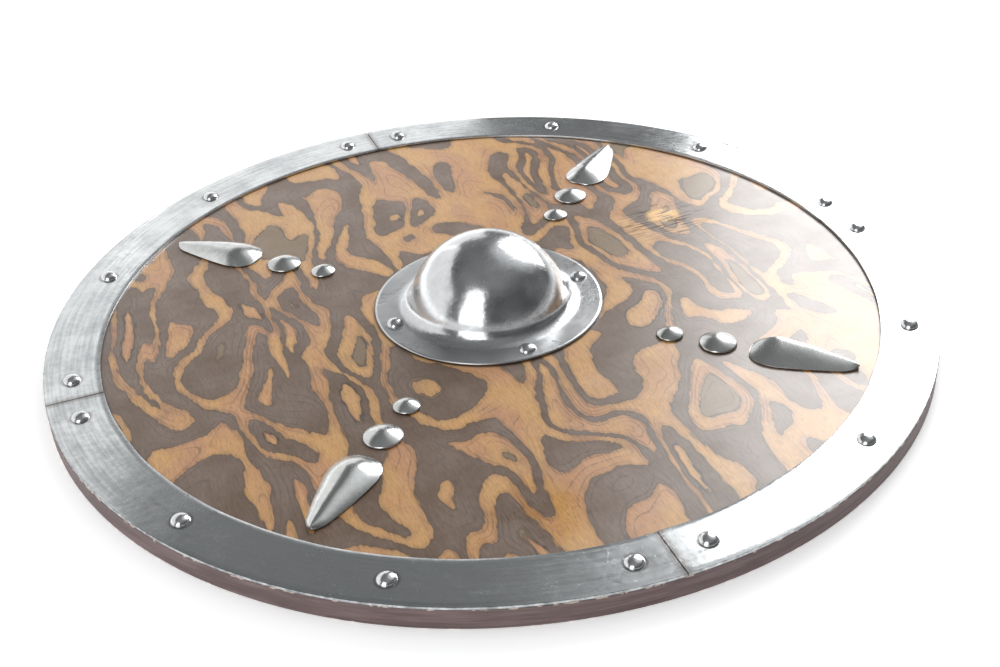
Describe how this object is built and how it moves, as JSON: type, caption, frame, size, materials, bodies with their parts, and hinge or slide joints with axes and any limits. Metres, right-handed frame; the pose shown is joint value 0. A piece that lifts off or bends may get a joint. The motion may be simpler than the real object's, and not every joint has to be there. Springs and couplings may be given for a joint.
{
  "type": "round shield",
  "caption": "Round wooden shield with a veneered face, a riveted flat steel rim, a domed steel boss over its hand hole and pressed steel ornaments on the diagonals.",
  "frame": {"origin": "centre of the board's back face, on which the shield lies", "axes": "+Z out of the shield through the boss, +X along the grip; the ornaments are on the diagonals"},
  "size_m": [0.8, 0.8, 0.0855],
  "materials": {
    "board": "swirling burr veneer under a worn gloss varnish on the face; mauve-brown paint, chipped along its corners, on the edge and back",
    "rim": "flat steel, satin, with fine scratches, smudges and small dark rust specks",
    "boss": "polished steel with fine scratches and small pits",
    "rivets": "polished domed steel heads",
    "ornaments": "bright, slightly warm plated steel, pressed thin, with small dents and scratches",
    "grip": "plain oiled hardwood with straight grain"
  },
  "bodies": {
    "root": {"board": "board", "grip": "grip", "boss": "boss", "rim_segment_1": "rim", "rim_segment_2": "rim", "rim_segment_3": "rim", "rim_segment_4": "rim", "rim_rivet_1_1": "rivets", "rim_rivet_1_2": "rivets", "rim_rivet_1_3": "rivets", "rim_rivet_1_4": "rivets", "rim_rivet_2_1": "rivets", "rim_rivet_2_2": "rivets", "rim_rivet_2_3": "rivets", "rim_rivet_2_4": "rivets", "rim_rivet_3_1": "rivets", "rim_rivet_3_2": "rivets", "rim_rivet_3_3": "rivets", "rim_rivet_3_4": "rivets", "rim_rivet_4_1": "rivets", "rim_rivet_4_2": "rivets", "rim_rivet_4_3": "rivets", "rim_rivet_4_4": "rivets", "boss_rivet_1": "rivets", "boss_rivet_2": "rivets", "boss_rivet_3": "rivets", "boss_rivet_4": "rivets", "small_disc_1": "ornaments", "large_disc_1": "ornaments", "teardrop_1": "ornaments", "small_disc_2": "ornaments", "large_disc_2": "ornaments", "teardrop_2": "ornaments", "small_disc_3": "ornaments", "large_disc_3": "ornaments", "teardrop_3": "ornaments", "small_disc_4": "ornaments", "large_disc_4": "ornaments", "teardrop_4": "ornaments"}
  },
  "joints": []
}
